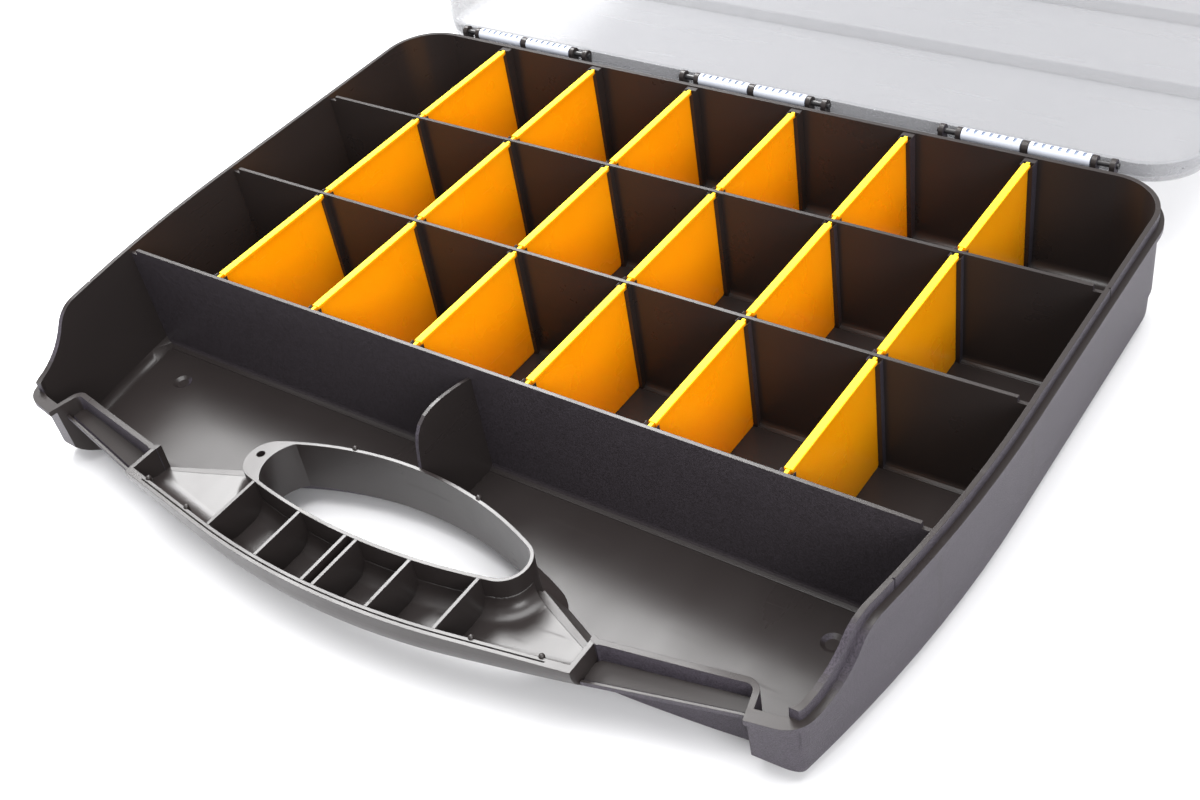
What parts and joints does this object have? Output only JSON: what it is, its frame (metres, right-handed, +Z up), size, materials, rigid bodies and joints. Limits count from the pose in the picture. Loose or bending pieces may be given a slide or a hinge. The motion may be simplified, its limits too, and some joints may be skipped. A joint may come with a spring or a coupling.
{
  "type": "parts sorting tray",
  "caption": "Black compartment tray with lift-out yellow dividers, half a carry handle and a translucent latching lid on pinned hinges.",
  "frame": {"origin": "centre of the area the tray stands on, at the height of the surface under its feet", "axes": "+Z up out of the open tray, +X to the right as the user faces the carry handle, +Y from the handle towards the hinges"},
  "size_m": [0.4586, 0.7412, 0.0717],
  "materials": {
    "black_tray_plastic": "moulded satin inside, fine texture outside",
    "yellow_divider_plastic": "smooth moulded gloss",
    "white_hinge_plastic": "smooth moulded",
    "dark_pin": "smooth drawn bar",
    "clear_lid_plastic": "milky translucent moulded plastic",
    "yellow_latch_plastic": "smooth moulded gloss"
  },
  "bodies": {
    "tray": {"carry_handle_trough": "black_tray_plastic", "catch_shelf_left": "black_tray_plastic", "catch_shelf_right": "black_tray_plastic", "finger_opening_frame": "black_tray_plastic", "front_half_partition": "black_tray_plastic", "grip_rib_1": "black_tray_plastic", "grip_rib_2": "black_tray_plastic", "grip_rib_3": "black_tray_plastic", "grip_rib_4": "black_tray_plastic", "grip_rib_5": "black_tray_plastic", "grip_rib_6": "black_tray_plastic", "hinge_knuckles_centre": "black_tray_plastic", "hinge_knuckles_left": "black_tray_plastic", "hinge_knuckles_right": "black_tray_plastic", "hinge_pin_centre": "dark_pin", "hinge_pin_left": "dark_pin", "hinge_pin_right": "dark_pin", "partition_front": "black_tray_plastic", "partition_middle": "black_tray_plastic", "partition_rear": "black_tray_plastic", "rear_wall_divider_guides": "black_tray_plastic", "tray_shell": "black_tray_plastic"},
    "lid": {"hinge_barrel_centre_a": "white_hinge_plastic", "hinge_barrel_centre_b": "white_hinge_plastic", "hinge_barrel_left_a": "white_hinge_plastic", "hinge_barrel_left_b": "white_hinge_plastic", "hinge_barrel_right_a": "white_hinge_plastic", "hinge_barrel_right_b": "white_hinge_plastic", "latch_ears_left": "clear_lid_plastic", "latch_ears_right": "clear_lid_plastic", "latch_pin_left": "dark_pin", "latch_pin_right": "dark_pin", "lid_rib_front": "clear_lid_plastic", "lid_rib_middle": "clear_lid_plastic", "lid_rib_rear": "clear_lid_plastic", "lid_shell": "clear_lid_plastic"},
    "latch_left": {"latch_left": "yellow_latch_plastic"},
    "latch_right": {"latch_right": "yellow_latch_plastic"},
    "divider_front_1": {"divider_front_1": "yellow_divider_plastic"},
    "divider_front_2": {"divider_front_2": "yellow_divider_plastic"},
    "divider_front_3": {"divider_front_3": "yellow_divider_plastic"},
    "divider_front_4": {"divider_front_4": "yellow_divider_plastic"},
    "divider_front_5": {"divider_front_5": "yellow_divider_plastic"},
    "divider_front_6": {"divider_front_6": "yellow_divider_plastic"},
    "divider_middle_1": {"divider_middle_1": "yellow_divider_plastic"},
    "divider_middle_2": {"divider_middle_2": "yellow_divider_plastic"},
    "divider_middle_3": {"divider_middle_3": "yellow_divider_plastic"},
    "divider_middle_4": {"divider_middle_4": "yellow_divider_plastic"},
    "divider_middle_5": {"divider_middle_5": "yellow_divider_plastic"},
    "divider_middle_6": {"divider_middle_6": "yellow_divider_plastic"},
    "divider_rear_1": {"divider_rear_1": "yellow_divider_plastic"},
    "divider_rear_2": {"divider_rear_2": "yellow_divider_plastic"},
    "divider_rear_3": {"divider_rear_3": "yellow_divider_plastic"},
    "divider_rear_4": {"divider_rear_4": "yellow_divider_plastic"},
    "divider_rear_5": {"divider_rear_5": "yellow_divider_plastic"},
    "divider_rear_6": {"divider_rear_6": "yellow_divider_plastic"}
  },
  "joints": [
    {"name": "lid_hinge", "type": "hinge", "parent": "tray", "child": "lid", "pos_m": [0, 0.187, 0.064], "axis": [-1, 0, 0], "range_deg": [-183, 0]},
    {"name": "latch_left_hinge", "type": "hinge", "parent": "lid", "child": "latch_left", "pos_m": [-0.15581, 0.52361, 0.05337], "axis": [-0.9742, -0.2253, 0.0118], "range_deg": [-105, 0]},
    {"name": "latch_right_hinge", "type": "hinge", "parent": "lid", "child": "latch_right", "pos_m": [0.15581, 0.52361, 0.05337], "axis": [-0.9742, 0.2253, -0.0118], "range_deg": [-105, 0]},
    {"name": "divider_front_1_lift", "type": "slide", "parent": "tray", "child": "divider_front_1", "axis": [0, 0, 1], "range_m": [0, 0.065]},
    {"name": "divider_front_2_lift", "type": "slide", "parent": "tray", "child": "divider_front_2", "axis": [0, 0, 1], "range_m": [0, 0.065]},
    {"name": "divider_front_3_lift", "type": "slide", "parent": "tray", "child": "divider_front_3", "axis": [0, 0, 1], "range_m": [0, 0.065]},
    {"name": "divider_front_4_lift", "type": "slide", "parent": "tray", "child": "divider_front_4", "axis": [0, 0, 1], "range_m": [0, 0.065]},
    {"name": "divider_front_5_lift", "type": "slide", "parent": "tray", "child": "divider_front_5", "axis": [0, 0, 1], "range_m": [0, 0.065]},
    {"name": "divider_front_6_lift", "type": "slide", "parent": "tray", "child": "divider_front_6", "axis": [0, 0, 1], "range_m": [0, 0.065]},
    {"name": "divider_middle_1_lift", "type": "slide", "parent": "tray", "child": "divider_middle_1", "axis": [0, 0, 1], "range_m": [0, 0.065]},
    {"name": "divider_middle_2_lift", "type": "slide", "parent": "tray", "child": "divider_middle_2", "axis": [0, 0, 1], "range_m": [0, 0.065]},
    {"name": "divider_middle_3_lift", "type": "slide", "parent": "tray", "child": "divider_middle_3", "axis": [0, 0, 1], "range_m": [0, 0.065]},
    {"name": "divider_middle_4_lift", "type": "slide", "parent": "tray", "child": "divider_middle_4", "axis": [0, 0, 1], "range_m": [0, 0.065]},
    {"name": "divider_middle_5_lift", "type": "slide", "parent": "tray", "child": "divider_middle_5", "axis": [0, 0, 1], "range_m": [0, 0.065]},
    {"name": "divider_middle_6_lift", "type": "slide", "parent": "tray", "child": "divider_middle_6", "axis": [0, 0, 1], "range_m": [0, 0.065]},
    {"name": "divider_rear_1_lift", "type": "slide", "parent": "tray", "child": "divider_rear_1", "axis": [0, 0, 1], "range_m": [0, 0.065]},
    {"name": "divider_rear_2_lift", "type": "slide", "parent": "tray", "child": "divider_rear_2", "axis": [0, 0, 1], "range_m": [0, 0.065]},
    {"name": "divider_rear_3_lift", "type": "slide", "parent": "tray", "child": "divider_rear_3", "axis": [0, 0, 1], "range_m": [0, 0.065]},
    {"name": "divider_rear_4_lift", "type": "slide", "parent": "tray", "child": "divider_rear_4", "axis": [0, 0, 1], "range_m": [0, 0.065]},
    {"name": "divider_rear_5_lift", "type": "slide", "parent": "tray", "child": "divider_rear_5", "axis": [0, 0, 1], "range_m": [0, 0.065]},
    {"name": "divider_rear_6_lift", "type": "slide", "parent": "tray", "child": "divider_rear_6", "axis": [0, 0, 1], "range_m": [0, 0.065]}
  ]
}
